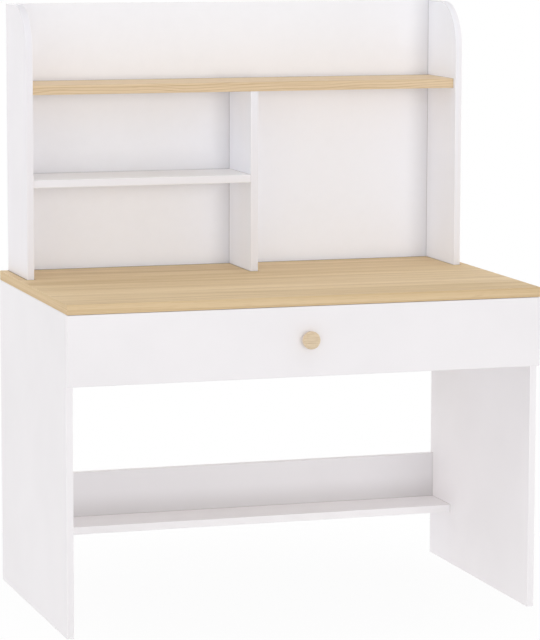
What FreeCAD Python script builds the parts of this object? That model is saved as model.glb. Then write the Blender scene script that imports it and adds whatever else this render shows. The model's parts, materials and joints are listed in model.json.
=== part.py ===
import FreeCAD, Part
import Sketcher
import os
from types import SimpleNamespace

os.makedirs("parts", exist_ok=True)
doc = FreeCAD.newDocument("student_desk")

# Driving sizes, in millimetres
sizes = {
    # desk
    "desk_width": 1100,
    "desk_depth": 650,
    "desk_height": 742,
    "top_thickness": 22,
    "side_thickness": 16,
    "rail_thickness": 16,
    "shelf_thickness": 18,
    "edge_round": 1,
    "apron_height": 100,
    "stretcher_bottom": 128,
    "stretcher_height": 125,
    "footrest_depth": 122,
    # floor glides
    "glide_height": 2,
    "glide_radius": 6.5,
    "glide_pin_radius": 1.25,
    "glide_pin_length": 14,
    "glide_inset": 40,
    # hutch
    "hutch_height": 624,
    "hutch_depth": 196,
    "hutch_inset": 20,
    "hutch_corner_radius": 107,
    "back_thickness": 3,
    "back_inset": 6,
    "back_groove_depth": 6,
    "long_shelf_rise": 422,
    "long_shelf_thickness": 22,
    "shelf_setback": 14,
    "divider_offset": 10,
    "small_shelf_rise": 209,
    # drawer
    "front_height": 157,
    "front_thickness": 16,
    "front_top_gap": 1,
    "front_rear_gap": 1,
    "box_depth": 460,
    "box_height": 100,
    "box_thickness": 12,
    "bottom_thickness": 3,
    "bottom_rise": 8,
    "bottom_groove_depth": 5,
    "batten_width": 60,
    "batten_thickness": 10,
    # knob
    "knob_projection": 24,
    "knob_radius": 20,
    "knob_neck_radius": 11,
    "knob_neck_length": 7,
    "knob_flare_length": 4,
    "knob_rim_round": 7,
    "knob_back_round": 2.5,
    "knob_screw_grip": 12,
    # runners and rollers
    "runner_length": 450,
    "runner_rise": 18,
    "runner_steel": 1.2,
    "runner_front_inset": 2,
    "runner_clearance": 0.5,
    "member_rise": 3,
    "member_front_inset": 1,
    "rear_roller_radius": 8.7,
    "roller_width": 6,
    "roller_inset": 12,
    "roller_clearance": 0.3,
    "roller_floor_gap": 0.5,
    "roller_side_gap": 0.2,
    "flange_clearance": 1,
    "flange_end_gap": 3,
    "pin_radius": 2,
    "pin_fit": 0.05,
    "shoulder_radius": 3.2,
    "shoulder_length": 1.6,
    "rivet_radius": 3,
    "rivet_length": 0.8,
    # fasteners and their holes
    "dowel_radius": 4,
    "drawer_dowel_radius": 3,
    "dowel_length": 20,
    "dowel_fit": 0.05,
    "hole_end_gap": 0.6,
    "hole_fit": 0.1,
    "cam_radius": 7.5,
    "cam_axis_depth": 8,
    "cam_floor": 4,
    "cam_reach": 34,
    "cam_slot_length": 8,
    "cam_slot_width": 1.4,
    "cam_slot_depth": 2,
    "bolt_thread_radius": 2.5,
    "bolt_thread_length": 9,
    "bolt_neck_radius": 2,
    "bolt_head_radius": 3.2,
    "bolt_head_length": 4,
    "screw_head_radius": 5,
    "screw_head_length": 3,
    "screw_radius": 3,
    "screw_grip": 30,
    "small_head_radius": 3,
    "small_head_length": 1,
    "small_screw_radius": 1.6,
    "small_screw_grip": 10,
    "joint_end": 60,
    "dowel_step": 50,
    "cut_overrun": 2,
}

sheet = doc.addObject("Spreadsheet::Sheet", "Sizes")
for row, (word, value) in enumerate(sizes.items(), start=1):
    sheet.set(f"A{row}", word)
    sheet.set(f"B{row}", str(value))
    sheet.setAlias(f"B{row}", word)
doc.recompute()


class Length:
    # A number kept together with the sheet expression that it comes from
    def __init__(self, number, text):
        self.number = number
        self.text = text

    def __add__(self, other):
        other = length(other)
        return Length(self.number + other.number, f"({self.text} + {other.text})")

    def __sub__(self, other):
        other = length(other)
        return Length(self.number - other.number, f"({self.text} - {other.text})")

    def __mul__(self, factor):
        return Length(self.number * factor, f"({self.text} * ({factor}))")

    def __truediv__(self, factor):
        return Length(self.number / factor, f"({self.text} / {factor})")

    def __neg__(self):
        return Length(-self.number, f"(-{self.text})")

    __rmul__ = __mul__


def length(value):
    return value if isinstance(value, Length) else Length(value, str(value))


s = SimpleNamespace(**{word: Length(value, f"Sizes.{word}") for word, value in sizes.items()})
zero = length(0)
same_place = 1e-6
hands = {"left": -1, "right": 1}

# Places along the share of a run, chosen by hand
hutch_screw_shares = (0.28, 0.72)
footrest_screw_shares = (-0.7, 0, 0.7)
footrest_dowel_shares = (0.3, 0.7)
rail_cam_share = 0.58
rail_dowel_shares = (0.3, 0.85)
shelf_cam_shares = (0.25, 0.75)
shelf_dowel_share = 0.5
small_shelf_cam_share = 0.3
small_shelf_dowel_share = 0.75
divider_dowel_shares = (0.35, 0.7)
box_cam_share = 0.72
box_dowel_share = 0.38
box_screw_shares = (0.35, 0.8)
bottom_screw_shares = (-0.8, -0.4, 0.4, 0.8)
batten_fix_shares = (-0.25, 0.25)
runner_screw_shares = (0.12, 0.5, 0.88)
knob_height_share = 0.53

# Main planes of the desk: +Y is the rear, +Z is up
half_width = s.desk_width / 2
rear = (s.desk_depth + s.knob_projection) / 2
front = rear - s.desk_depth
top_underside = s.desk_height - s.top_thickness
side_inner = half_width - s.side_thickness
side_middle = half_width - s.side_thickness / 2
side_front = front + s.front_thickness + s.front_rear_gap
rail_front = rear - s.rail_thickness
stretcher_top = s.stretcher_bottom + s.stretcher_height
footrest_front = rail_front - s.footrest_depth
footrest_top = s.stretcher_bottom + s.shelf_thickness
apron_bottom = top_underside - s.apron_height

# Main planes of the hutch
hutch_outer = half_width - s.hutch_inset
hutch_inner = hutch_outer - s.side_thickness
hutch_front = rear - s.hutch_depth
hutch_top = s.desk_height + s.hutch_height
back_rear = rear - s.back_inset
back_front = back_rear - s.back_thickness
shelf_front = hutch_front + s.shelf_setback
shelf_depth = back_front - shelf_front
long_shelf_bottom = s.desk_height + s.long_shelf_rise
long_shelf_top = long_shelf_bottom + s.long_shelf_thickness
small_shelf_bottom = s.desk_height + s.small_shelf_rise
small_shelf_top = small_shelf_bottom + s.shelf_thickness
divider_right = s.divider_offset + s.shelf_thickness
divider_middle = s.divider_offset + s.shelf_thickness / 2

# Main planes of the drawer, with the runner stack that sets the gap beside it
front_top = top_underside - s.front_top_gap
front_bottom = front_top - s.front_height
roller_stack = s.shoulder_length + s.roller_side_gap * 2 + s.roller_width + s.rivet_length
flange_width = s.runner_steel + roller_stack
runner_gap = flange_width + s.runner_steel + s.small_head_length + s.runner_clearance
runner_bottom = front_bottom + s.runner_rise
box_outer = side_inner - runner_gap
box_inner = box_outer - s.box_thickness
box_middle = box_outer - s.box_thickness / 2
box_front = front + s.front_thickness
box_rear = box_front + s.box_depth
box_bottom = runner_bottom + s.member_rise + s.runner_steel
box_top = box_bottom + s.box_height
panel_bottom = box_bottom + s.bottom_rise
panel_top = panel_bottom + s.bottom_thickness
batten_bottom = panel_bottom - s.batten_thickness
knob_height = front_bottom + s.front_height * knob_height_share

blanks = {}
holes = {}
groups = {}
nodes = {}


def bind(item, prop, value):
    item.setExpression(prop, value.text)


def place(item, at, turn=FreeCAD.Rotation()):
    base = FreeCAD.Vector(*[value.number for value in at])
    item.Placement = FreeCAD.Placement(base, turn)
    for axis, value in zip("xyz", at):
        bind(item, f"Placement.Base.{axis}", value)


def hand_span(sign, inner, outer):
    return (inner, outer) if sign > 0 else (-outer, -inner)


def add_sketch(body, label):
    sketch = body.newObject("Sketcher::SketchObject", label)
    plane = next(item for item in body.Origin.OriginFeatures if item.Role == "XY_Plane")
    sketch.AttachmentSupport = [(plane, "")]
    sketch.MapMode = "FlatFace"
    return sketch


def polygon(sketch, points):
    # Closed outline whose corners are each held by their distances from the sketch's axes
    corners = [FreeCAD.Vector(across.number, up.number, 0) for across, up in points]
    for start, end in zip(corners, corners[1:] + corners[:1]):
        sketch.addGeometry(Part.LineSegment(start, end))
    for index, (across, up) in enumerate(points):
        before = (index - 1) % len(points)
        sketch.addConstraint(Sketcher.Constraint("Coincident", before, 2, index, 1))
        for kind, value, axis in (("DistanceX", across, -2), ("DistanceY", up, -1)):
            if value is zero:
                sketch.addConstraint(Sketcher.Constraint("PointOnObject", index, 1, axis))
                continue
            number = sketch.addConstraint(Sketcher.Constraint(kind, -1, 1, index, 1, value.number))
            bind(sketch, f"Constraints[{number}]", value)


def on_face(edge, box, face):
    axis = "xyz".index(face[1])
    lows = (box.XMin, box.YMin, box.ZMin)
    highs = (box.XMax, box.YMax, box.ZMax)
    level = lows[axis] if face[0] == "-" else highs[axis]
    return all(abs(vertex.Point[axis] - level) < same_place for vertex in edge.Vertexes)


def edges_on(shape, faces, sharp_faces=()):
    names = []
    for number, edge in enumerate(shape.Edges, start=1):
        kept_sharp = any(on_face(edge, shape.BoundBox, face) for face in sharp_faces)
        if not kept_sharp and any(on_face(edge, shape.BoundBox, face) for face in faces):
            names.append(f"Edge{number}")
    return names


def round_edges(body, label, base, names, radius):
    fillet = body.newObject("PartDesign::Fillet", label)
    fillet.Base = (base, names)
    bind(fillet, "Radius", radius)
    doc.recompute()
    return fillet


def board(label, x, y, z, rounded=(), sharp=(), corner=None):
    # Board from low to high along each axis, with rounded edges on the named faces
    body = doc.addObject("PartDesign::Body", f"{label}_blank")
    sketch = add_sketch(body, f"{label}_outline")
    across = x[1] - x[0]
    deep = y[1] - y[0]
    polygon(sketch, [(zero, zero), (across, zero), (across, deep), (zero, deep)])
    slab = body.newObject("PartDesign::Pad", f"{label}_slab")
    slab.Profile = sketch
    bind(slab, "Length", z[1] - z[0])
    doc.recompute()
    if corner:
        front_edges = set(edges_on(slab.Shape, ("-y",)))
        top_edges = set(edges_on(slab.Shape, ("+z",)))
        slab = round_edges(body, f"{label}_corner", slab, sorted(front_edges & top_edges), corner)
    if rounded:
        names = edges_on(slab.Shape, rounded, sharp)
        round_edges(body, f"{label}_edges", slab, names, s.edge_round)
    place(body, (x[0], y[0], z[0]))
    blanks[label] = body
    holes[label] = []


def box(label, x, y, z):
    block = doc.addObject("Part::Box", label)
    for prop, span in zip(("Length", "Width", "Height"), (x, y, z)):
        bind(block, prop, span[1] - span[0])
    place(block, (x[0], y[0], z[0]))
    return block


def fused(label, pieces):
    if len(pieces) == 1:
        return pieces[0]
    union = doc.addObject("Part::MultiFuse", label)
    union.Shapes = pieces
    union.Refine = True
    return union


def cut(label, base, tools):
    result = doc.addObject("Part::Cut", label)
    result.Base = base
    result.Tool = fused(f"{label}_holes", tools)
    return result


turns = {
    "+x": FreeCAD.Rotation(FreeCAD.Vector(0, 1, 0), 90),
    "-x": FreeCAD.Rotation(FreeCAD.Vector(0, 1, 0), -90),
    "+y": FreeCAD.Rotation(FreeCAD.Vector(1, 0, 0), -90),
    "-y": FreeCAD.Rotation(FreeCAD.Vector(1, 0, 0), 90),
    "+z": FreeCAD.Rotation(),
    "-z": FreeCAD.Rotation(FreeCAD.Vector(1, 0, 0), 180),
}


def opposite(toward):
    return ("-" if toward[0] == "+" else "+") + toward[1]


def shift(at, toward, distance):
    moved = list(at)
    axis = "xyz".index(toward[1])
    moved[axis] = moved[axis] + distance if toward[0] == "+" else moved[axis] - distance
    return tuple(moved)


def rod(label, at, toward, steps, start=zero):
    # Round pin along one axis, made of steps that each have a radius and a length
    pieces = []
    for radius, run in steps:
        piece = doc.addObject("Part::Cylinder", f"{label}_step")
        bind(piece, "Radius", radius)
        bind(piece, "Height", run)
        place(piece, shift(at, toward, start), turns[toward])
        pieces.append(piece)
        start = start + run
    return fused(label, pieces)


def drill(cutter, *labels):
    for label in labels:
        holes[label].append(cutter)


def group(label, solid):
    groups.setdefault(label, []).append(solid)


def dowel(label, at, toward, radius, *boards):
    # Dowel centred on the face where two boards meet, in one hole through both
    half = s.dowel_length / 2
    group(label, rod(f"{label}_pin", at, toward, [(radius, s.dowel_length)], -half))
    deep = s.dowel_length + s.hole_end_gap * 2
    drill(rod(f"{label}_hole", at, toward, [(radius + s.dowel_fit, deep)], -half - s.hole_end_gap), *boards)


def screw(label, at, toward, head, shank, boards, sunk):
    # Screw from an outer face inwards, with its head let into that face or standing on it
    start = zero if sunk else -head[1]
    group(label, rod(f"{label}_pin", at, toward, [head, shank], start))
    reach = head[1] + shank[1] if sunk else shank[1]
    bore = (shank[0] + s.hole_fit, reach + s.cut_overrun + s.hole_end_gap)
    drill(rod(f"{label}_bore", at, toward, [bore], -s.cut_overrun), *boards)
    if sunk:
        seat = (head[0] + s.hole_fit, head[1] + s.cut_overrun)
        drill(rod(f"{label}_seat", at, toward, [seat], -s.cut_overrun), boards[0])


def cam_joint(label, at, toward, face, bolt_board, cam_board, axis_depth):
    # Bolt screwed into one board and drawn in by a cam lock let into a face of the other
    head_start = s.cam_reach - s.bolt_head_length / 2
    steps = [
        (s.bolt_thread_radius, s.bolt_thread_length),
        (s.bolt_neck_radius, head_start),
        (s.bolt_head_radius, s.bolt_head_length),
    ]
    group(f"{label}_cam_bolts", rod(f"{label}_bolt", at, toward, steps, -s.bolt_thread_length))
    thread_hole = (s.bolt_thread_radius + s.hole_fit, s.bolt_thread_length + s.hole_end_gap + s.cut_overrun)
    drill(rod(f"{label}_bolt_hole", at, opposite(toward), [thread_hole], -s.cut_overrun), bolt_board)
    passage = s.bolt_head_radius + s.hole_fit
    neck_hole = (passage, s.cam_reach + s.cut_overrun)
    drill(rod(f"{label}_neck_hole", at, toward, [neck_hole], -s.cut_overrun), cam_board)

    depth = axis_depth + s.cam_floor
    centre = shift(at, toward, s.cam_reach)
    mouth = shift(centre, face, axis_depth)
    inward = opposite(face)
    drum = rod(f"{label}_cam_drum", mouth, inward, [(s.cam_radius, depth)])
    pocket = (s.cam_radius + s.hole_fit, depth + s.hole_end_gap + s.cut_overrun)
    drill(rod(f"{label}_cam_pocket", mouth, inward, [pocket], -s.cut_overrun), cam_board)
    throat_run = s.cam_radius + s.cut_overrun + s.bolt_head_length / 2 + s.hole_end_gap
    throat = rod(f"{label}_throat", centre, toward, [(passage, throat_run)], -s.cam_radius - s.cut_overrun)
    tools = [throat]
    face_axis = "xyz".index(face[1])
    for long_axis in {0, 1, 2} - {face_axis}:
        spans = []
        for axis in range(3):
            half = s.cam_slot_length / 2 if axis == long_axis else s.cam_slot_width / 2
            spans.append((mouth[axis] - half, mouth[axis] + half))
        slot_floor = shift(mouth, inward, s.cam_slot_depth)[face_axis]
        slot_mouth = shift(mouth, face, s.cut_overrun)[face_axis]
        spans[face_axis] = (slot_floor, slot_mouth) if face[0] == "+" else (slot_mouth, slot_floor)
        tools.append(box(f"{label}_slot", *spans))
    group(f"{label}_cam_locks", cut(f"{label}_cam", drum, tools))


# Desk boards
all_edges = ("-x", "+x", "-y", "+y")
across_desk = (-half_width, half_width)
between_sides = (-side_inner, side_inner)
board("desktop", across_desk, (front, rear), (top_underside, s.desk_height), all_edges)
for hand, sign in hands.items():
    x = hand_span(sign, side_inner, half_width)
    board(f"{hand}_side_panel", x, (side_front, rear), (s.glide_height, top_underside), ("-y", "+y"))
board("rear_apron", between_sides, (rail_front, rear), (apron_bottom, top_underside))
board("lower_stretcher", between_sides, (rail_front, rear), (s.stretcher_bottom, stretcher_top), ("+z",))
footrest_z = (s.stretcher_bottom, footrest_top)
board("footrest_shelf", between_sides, (footrest_front, rail_front), footrest_z, ("-y",))

# Hutch boards
hutch_z = (s.desk_height, hutch_top)
outline_faces = ("-x", "+x")
for hand, sign in hands.items():
    x = hand_span(sign, hutch_inner, hutch_outer)
    label = f"hutch_{hand}_side"
    board(label, x, (hutch_front, rear), hutch_z, outline_faces, ("+y", "-z"), s.hutch_corner_radius)
between_hutch = (-hutch_inner, hutch_inner)
groove_end = hutch_inner + s.back_groove_depth
board("hutch_back_panel", (-groove_end, groove_end), (back_front, back_rear), hutch_z)
shelf_y = (shelf_front, back_front)
board("hutch_long_shelf", between_hutch, shelf_y, (long_shelf_bottom, long_shelf_top), ("-y",))
divider_x = (s.divider_offset, divider_right)
board("hutch_divider", divider_x, shelf_y, (s.desk_height, long_shelf_bottom), ("-y",))
small_shelf_x = (-hutch_inner, s.divider_offset)
board("hutch_small_shelf", small_shelf_x, shelf_y, (small_shelf_bottom, small_shelf_top), ("-y",))

# Drawer boards
board("drawer_front", across_desk, (front, box_front), (front_bottom, front_top), all_edges)
for hand, sign in hands.items():
    x = hand_span(sign, box_inner, box_outer)
    board(f"drawer_{hand}_side", x, (box_front, box_rear), (box_bottom, box_top), ("+z",), ("-y",))
between_box = (-box_inner, box_inner)
board("drawer_back", between_box, (box_rear - s.box_thickness, box_rear), (panel_top, box_top), ("+z",))
panel_end = box_inner + s.bottom_groove_depth
panel_front = box_front - s.bottom_groove_depth
board("drawer_bottom", (-panel_end, panel_end), (panel_front, box_rear), (panel_bottom, panel_top))
batten_x = (-s.batten_width / 2, s.batten_width / 2)
board("drawer_bottom_batten", batten_x, (box_front, box_rear), (batten_bottom, panel_bottom))

# Grooves for the hutch back and for the drawer bottom
groove_y = (back_front - s.hole_fit, back_rear + s.hole_fit)
groove_z = (s.desk_height - s.cut_overrun, hutch_top + s.cut_overrun)
for hand, sign in hands.items():
    x = hand_span(sign, hutch_inner - s.cut_overrun, groove_end + s.hole_fit)
    drill(box(f"hutch_{hand}_groove", x, groove_y, groove_z), f"hutch_{hand}_side")
groove_z = (panel_bottom - s.hole_fit, panel_top + s.hole_fit)
for hand, sign in hands.items():
    x = hand_span(sign, box_inner - s.cut_overrun, panel_end + s.hole_fit)
    groove_y = (box_front - s.cut_overrun, box_rear + s.cut_overrun)
    drill(box(f"drawer_{hand}_groove", x, groove_y, groove_z), f"drawer_{hand}_side")
groove_x = (-panel_end - s.hole_fit, panel_end + s.hole_fit)
groove_y = (panel_front - s.hole_fit, box_front + s.cut_overrun)
drill(box("drawer_front_groove", groove_x, groove_y, groove_z), "drawer_front")

# Fasteners of the desk: top to sides, apron and stretcher to sides, footrest to both
wide_head = (s.screw_head_radius, s.screw_head_length)
cam_places = (side_front + s.joint_end, rear - s.joint_end)
dowel_places = (cam_places[0] + s.dowel_step, cam_places[1] - s.dowel_step)
rails = (
    ("rear_apron", apron_bottom, s.apron_height),
    ("lower_stretcher", s.stretcher_bottom, s.stretcher_height),
)
for hand, sign in hands.items():
    panel = f"{hand}_side_panel"
    inward = "-x" if sign > 0 else "+x"
    cam_x = (side_inner + s.cam_axis_depth) * sign
    for y in cam_places:
        cam_joint("carcass", (cam_x, y, top_underside), "-z", inward, "desktop", panel, s.cam_axis_depth)
    for y in dowel_places:
        at = (side_middle * sign, y, top_underside)
        dowel("carcass_dowels", at, "+z", s.dowel_radius, "desktop", panel)
    joint_x = side_inner * sign
    for rail, low, height in rails:
        at = (joint_x, rear - s.cam_axis_depth, low + height * rail_cam_share)
        cam_joint("carcass", at, inward, "+y", panel, rail, s.cam_axis_depth)
        for share in rail_dowel_shares:
            at = (joint_x, rear - s.rail_thickness / 2, low + height * share)
            dowel("carcass_dowels", at, "+x", s.dowel_radius, panel, rail)
    for share in footrest_dowel_shares:
        at = (joint_x, footrest_front + s.footrest_depth * share, s.stretcher_bottom + s.shelf_thickness / 2)
        dowel("carcass_dowels", at, "+x", s.dowel_radius, panel, "footrest_shelf")
for share in footrest_screw_shares:
    at = (side_inner * share, rear, s.stretcher_bottom + s.shelf_thickness / 2)
    shank = (s.screw_radius, s.rail_thickness - s.screw_head_length + s.screw_grip)
    screw("footrest_screws", at, "-y", wide_head, shank, ("lower_stretcher", "footrest_shelf"), True)

# Floor glides under the side panels
for hand, sign in hands.items():
    for y in (side_front + s.glide_inset, rear - s.glide_inset):
        at = (side_middle * sign, y, s.glide_height)
        head = (s.glide_radius, s.glide_height)
        shank = (s.glide_pin_radius, s.glide_pin_length)
        screw("floor_glides", at, "+z", head, shank, (f"{hand}_side_panel",), False)

# Fasteners of the hutch: uprights to the top, shelves to the uprights
uprights = {
    "hutch_left_side": -hutch_outer + s.side_thickness / 2,
    "hutch_divider": divider_middle,
    "hutch_right_side": hutch_outer - s.side_thickness / 2,
}
for upright, x in uprights.items():
    for share in hutch_screw_shares:
        at = (x, hutch_front + s.hutch_depth * share, top_underside)
        shank = (s.screw_radius, s.top_thickness - s.screw_head_length + s.screw_grip)
        screw("hutch_screws", at, "+z", wide_head, shank, ("desktop", upright), True)
for hand, sign in hands.items():
    upright = f"hutch_{hand}_side"
    inward = "-x" if sign > 0 else "+x"
    for share in shelf_cam_shares:
        at = (hutch_inner * sign, shelf_front + shelf_depth * share, long_shelf_bottom + s.cam_axis_depth)
        cam_joint("hutch", at, inward, "-z", upright, "hutch_long_shelf", s.cam_axis_depth)
    middle = long_shelf_bottom + s.long_shelf_thickness / 2
    at = (hutch_inner * sign, shelf_front + shelf_depth * shelf_dowel_share, middle)
    dowel("hutch_dowels", at, "+x", s.dowel_radius, upright, "hutch_long_shelf")
shelf_ends = (("hutch_left_side", -hutch_inner, "+x"), ("hutch_divider", s.divider_offset, "-x"))
for upright, x, inward in shelf_ends:
    at = (x, shelf_front + shelf_depth * small_shelf_cam_share, small_shelf_bottom + s.cam_axis_depth)
    cam_joint("hutch", at, inward, "-z", upright, "hutch_small_shelf", s.cam_axis_depth)
    at = (x, shelf_front + shelf_depth * small_shelf_dowel_share, small_shelf_bottom + s.shelf_thickness / 2)
    dowel("hutch_dowels", at, "+x", s.dowel_radius, upright, "hutch_small_shelf")
for share in divider_dowel_shares:
    at = (divider_middle, shelf_front + shelf_depth * share, long_shelf_bottom)
    dowel("hutch_dowels", at, "+z", s.dowel_radius, "hutch_divider", "hutch_long_shelf")

# Fasteners of the drawer: front and back to the sides, bottom and batten
small_head = (s.small_head_radius, s.small_head_length)
half_box = s.box_thickness / 2
for hand, sign in hands.items():
    side = f"drawer_{hand}_side"
    inward = "-x" if sign > 0 else "+x"
    at = (box_middle * sign, box_front, box_bottom + s.box_height * box_cam_share)
    cam_joint("drawer", at, "+y", inward, "drawer_front", side, half_box)
    at = (box_middle * sign, box_front, box_bottom + s.box_height * box_dowel_share)
    dowel("drawer_dowels", at, "+y", s.drawer_dowel_radius, "drawer_front", side)
    for share in box_screw_shares:
        at = (box_outer * sign, box_rear - half_box, box_bottom + s.box_height * share)
        shank = (s.small_screw_radius, s.box_thickness - s.small_head_length + s.small_screw_grip)
        screw("drawer_back_screws", at, inward, small_head, shank, (side, "drawer_back"), True)
for share in bottom_screw_shares:
    at = (box_inner * share, box_rear - half_box, panel_bottom)
    shank = (s.small_screw_radius, s.bottom_thickness + s.small_screw_grip)
    screw("drawer_bottom_screws", at, "+z", small_head, shank, ("drawer_bottom", "drawer_back"), False)
for share in batten_fix_shares:
    at = (s.batten_width * share, box_rear - half_box, batten_bottom)
    shank = (s.small_screw_radius, s.batten_thickness + s.bottom_thickness + s.small_screw_grip)
    stack = ("drawer_bottom_batten", "drawer_bottom", "drawer_back")
    screw("batten_screws", at, "+z", small_head, shank, stack, False)
    at = (s.batten_width * share, box_front, panel_bottom - s.batten_thickness / 2)
    dowel("drawer_dowels", at, "+y", s.drawer_dowel_radius, "drawer_front", "drawer_bottom_batten")

# Knob, turned about the axis of its screw
knob = doc.addObject("PartDesign::Body", "drawer_knob")
profile = add_sketch(knob, "knob_profile")
bore = s.small_screw_radius + s.hole_fit
bore_depth = s.knob_screw_grip + s.hole_end_gap
flare_end = s.knob_neck_length + s.knob_flare_length
polygon(profile, [
    (bore, zero),
    (s.knob_neck_radius, zero),
    (s.knob_neck_radius, s.knob_neck_length),
    (s.knob_radius, flare_end),
    (s.knob_radius, s.knob_projection),
    (zero, s.knob_projection),
    (zero, bore_depth),
    (bore, bore_depth),
])
turned = knob.newObject("PartDesign::Revolution", "knob_turned")
turned.Profile = profile
turned.ReferenceAxis = (profile, ["V_Axis"])
turned.Angle = 360
doc.recompute()


def circles_at(shape, level):
    names = []
    for number, edge in enumerate(shape.Edges, start=1):
        closed = len(edge.Vertexes) == 1
        if closed and abs(edge.Vertexes[0].Point.y - level.number) < same_place:
            names.append(f"Edge{number}")
    return names


rim = round_edges(knob, "knob_rim", turned, circles_at(turned.Shape, s.knob_projection), s.knob_rim_round)
round_edges(knob, "knob_back", rim, circles_at(rim.Shape, flare_end), s.knob_back_round)
place(knob, (zero, front, knob_height), FreeCAD.Rotation(FreeCAD.Vector(0, 0, 1), 180))
at = (zero, box_front, knob_height)
shank = (s.small_screw_radius, s.front_thickness + s.knob_screw_grip)
screw("knob_screw", at, "-y", small_head, shank, ("drawer_front",), False)

# Runner sections: heights above the underside of the cabinet runner
channel_inner = s.rear_roller_radius * 2 + s.roller_clearance * 2
channel_height = channel_inner + s.runner_steel * 2
channel_middle = runner_bottom + channel_height / 2
running_top = runner_bottom + s.runner_steel + channel_inner - s.flange_clearance
running_bottom = running_top - s.runner_steel
front_roller_top = running_bottom - s.roller_clearance
front_roller_bottom = runner_bottom + s.runner_steel + s.roller_floor_gap
front_roller_radius = (front_roller_top - front_roller_bottom) / 2
front_roller_height = front_roller_bottom + front_roller_radius
cabinet_front = side_front + s.runner_front_inset
cabinet_y = (cabinet_front, cabinet_front + s.runner_length)
member_front = box_front + s.member_front_inset
member_rear = member_front + s.runner_length
front_roller_y = cabinet_front + s.roller_inset
rear_roller_y = member_rear - s.roller_inset
running_end = rear_roller_y - s.rear_roller_radius - s.flange_end_gap
member_web = box_outer + s.runner_steel
seat_middle = (panel_end + box_outer) / 2
running_outer = side_inner - s.runner_steel - s.small_head_length - s.runner_clearance
runner_z = (runner_bottom, runner_bottom + channel_height)


def roller_with_pin(label, pin_label, at, toward, radius, runner):
    # Roller on a shouldered rivet that stands on the runner's web and passes through it
    journal = s.roller_width + s.roller_side_gap * 2
    steps = [
        (s.pin_radius, s.runner_steel),
        (s.shoulder_radius, s.shoulder_length),
        (s.pin_radius, journal),
        (s.rivet_radius, s.rivet_length),
    ]
    group(pin_label, rod(f"{pin_label}_pin", at, toward, steps))
    through = (s.pin_radius + s.pin_fit, s.runner_steel + s.cut_overrun * 2)
    drill(rod(f"{pin_label}_hole", at, toward, [through], -s.cut_overrun), runner)
    start = s.runner_steel + s.shoulder_length + s.roller_side_gap
    tread = rod(f"{label}_tread", at, toward, [(radius, s.roller_width)], start)
    clear = (s.pin_radius + s.pin_fit, s.roller_width + s.cut_overrun * 2)
    nodes[label] = cut(label, tread, [rod(f"{label}_bore", at, toward, [clear], start - s.cut_overrun)])


# Runners and rollers on both sides
for hand, sign in hands.items():
    inward = "-x" if sign > 0 else "+x"
    outward = opposite(inward)
    runner = f"{hand}_cabinet_runner"
    holes[runner] = []
    web_x = hand_span(sign, side_inner - s.runner_steel, side_inner)
    flange_x = hand_span(sign, side_inner - flange_width, side_inner)
    lower_z = (runner_bottom, runner_bottom + s.runner_steel)
    upper_z = (runner_z[1] - s.runner_steel, runner_z[1])
    sheets = [
        box(f"{runner}_web", web_x, cabinet_y, runner_z),
        box(f"{runner}_lower", flange_x, cabinet_y, lower_z),
        box(f"{runner}_upper", flange_x, cabinet_y, upper_z),
    ]
    blanks[runner] = fused(f"{runner}_blank", sheets)
    for share in runner_screw_shares:
        at = ((side_inner - s.runner_steel) * sign, cabinet_front + s.runner_length * share, channel_middle)
        shank = (s.small_screw_radius, s.runner_steel + s.small_screw_grip)
        screw("cabinet_runner_screws", at, outward, small_head, shank, (runner, f"{hand}_side_panel"), False)
    at = (side_inner * sign, front_roller_y, front_roller_height)
    roller_with_pin(f"{hand}_front_roller", "front_roller_pins", at, inward, front_roller_radius, runner)

    member = f"{hand}_drawer_runner"
    holes[member] = []
    member_y = (member_front, member_rear)
    seat_z = (box_bottom - s.runner_steel, box_bottom)
    sheets = [
        box(f"{member}_web", hand_span(sign, box_outer, member_web), member_y, (seat_z[0], running_top)),
        box(f"{member}_seat", hand_span(sign, box_inner, member_web), member_y, seat_z),
        box(
            f"{member}_flange",
            hand_span(sign, box_outer, running_outer),
            (member_front, running_end),
            (running_bottom, running_top),
        ),
    ]
    blanks[member] = fused(f"{member}_blank", sheets)
    for share in runner_screw_shares:
        at = (seat_middle * sign, member_front + s.runner_length * share, seat_z[0])
        shank = (s.small_screw_radius, s.runner_steel + s.small_screw_grip)
        screw("drawer_runner_screws", at, "+z", small_head, shank, (member, f"drawer_{hand}_side"), False)
    at = (box_outer * sign, rear_roller_y, channel_middle)
    roller_with_pin(f"{hand}_rear_roller", "rear_roller_pins", at, outward, s.rear_roller_radius, member)

# Finished pieces: drilled boards and runners, fastener groups, and the knob
for label, blank in blanks.items():
    if holes[label]:
        nodes[label] = cut(label, blank, holes[label])
    else:
        blank.Label = label
        nodes[label] = blank
for label, solids in groups.items():
    compound = doc.addObject("Part::Compound", label)
    compound.Links = solids
    nodes[label] = compound
nodes["drawer_knob"] = knob
doc.recompute()

for item in doc.Objects:
    if "Invalid" in item.State or "Error" in item.State:
        raise RuntimeError(f"{item.Label} failed")
for label, item in nodes.items():
    if item.Shape.isNull() or not item.Shape.isValid() or not item.Shape.Solids:
        raise RuntimeError(f"{label} has no valid solid")
for label, item in nodes.items():
    item.Shape.exportStep(f"parts/{label}.step")
print(len(nodes), "pieces,", sum(len(item.Shape.Solids) for item in nodes.values()), "solids")
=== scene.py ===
import json
import bpy
import numpy as np
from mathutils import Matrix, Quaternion, Vector


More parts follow.
